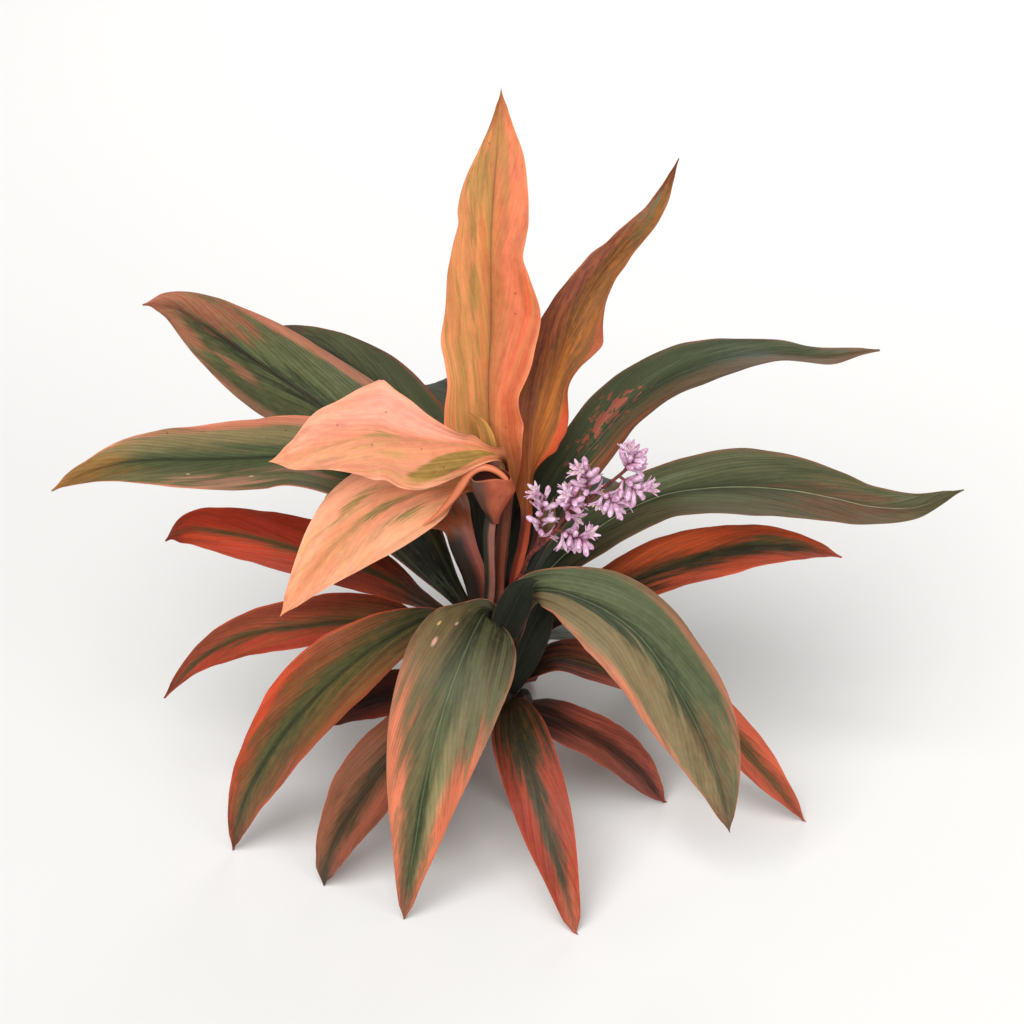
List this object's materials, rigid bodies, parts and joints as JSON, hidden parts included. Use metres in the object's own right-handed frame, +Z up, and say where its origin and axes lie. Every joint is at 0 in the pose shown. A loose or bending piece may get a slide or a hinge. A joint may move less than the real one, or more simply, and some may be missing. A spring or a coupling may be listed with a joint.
{
  "type": "ti plant",
  "caption": "Flowering ti plant cut on its cane: a rosette of long channelled leaves in salmon, red and green round a short woody stem, with a lilac flower panicle.",
  "frame": {"origin": "on the surface that the plant stands on, under the middle of the plant's box", "axes": "+Z up along the cane, +X to the right as seen from the front, -Y towards the viewer"},
  "size_m": [0.7192, 0.4688, 0.5941],
  "materials": {
    "cane_bark": "rough ringed bark",
    "salmon_leaf": "satin leaf, salmon with olive streaks",
    "olive_leaf": "satin leaf, olive brown with salmon margins",
    "green_leaf": "satin leaf, grey green with coral margins",
    "dark_leaf": "satin leaf, dark green",
    "red_leaf": "satin leaf, red with an olive midrib band",
    "maroon_leaf": "satin leaf, dark maroon",
    "lilac_floret": "matt lilac florets",
    "floret_stalk": "red brown flower stalk"
  },
  "bodies": {
    "root": {"cane": "cane_bark", "leaf_upright": "salmon_leaf", "leaf_young": "salmon_leaf", "leaf_bent_across": "salmon_leaf", "leaf_bent_down": "salmon_leaf", "leaf_twisted": "olive_leaf", "leaf_upper_left": "green_leaf", "leaf_upper_left_behind": "dark_leaf", "leaf_back_arching": "dark_leaf", "leaf_left_long": "green_leaf", "leaf_left_upper_red": "red_leaf", "leaf_left_red": "red_leaf", "leaf_lower_left": "red_leaf", "leaf_low_dark": "maroon_leaf", "leaf_low_brown": "red_leaf", "leaf_front_large": "green_leaf", "leaf_front_right": "green_leaf", "leaf_front_low": "red_leaf", "leaf_low_right": "maroon_leaf", "leaf_right_behind": "red_leaf", "leaf_right_red": "red_leaf", "leaf_right_long": "green_leaf", "leaf_right_arching": "dark_leaf", "leaf_back_mid": "dark_leaf", "leaf_back_mid_left": "dark_leaf", "leaf_back_mid_right": "dark_leaf", "leaf_back_left": "dark_leaf", "leaf_back_right": "dark_leaf", "leaf_back_low": "dark_leaf", "panicle": "lilac_floret"}
  },
  "joints": []
}
